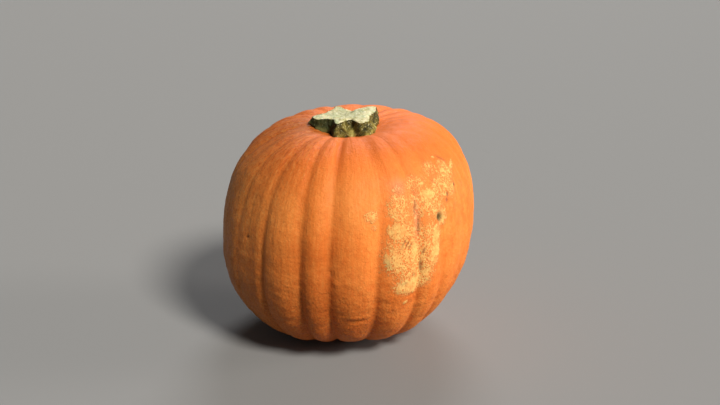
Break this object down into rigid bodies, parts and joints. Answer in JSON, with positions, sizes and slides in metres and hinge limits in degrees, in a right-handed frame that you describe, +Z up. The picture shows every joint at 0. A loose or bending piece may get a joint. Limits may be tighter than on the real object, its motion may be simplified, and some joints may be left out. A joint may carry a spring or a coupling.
{
  "type": "pumpkin",
  "caption": "Ripe orange pumpkin, squat and ribbed, with a short cut five-lobed stem and a corky scar on one flank, resting on a small flat spot.",
  "frame": {"origin": "centre of the flat spot that the fruit rests on, under the middle of its width", "axes": "+Z up along the fruit's core towards the stem; -Y is the front, and +X is to the right of someone facing the front"},
  "size_m": [0.2402, 0.241, 0.2119],
  "materials": {
    "skin": "satin orange rind, darker in the grooves, with a pale corky scar on one flank",
    "stem": "dry corky stem, olive green on its sides, with a pale cream cut face"
  },
  "bodies": {
    "root": {"fruit": "skin", "stem": "stem"}
  },
  "joints": []
}
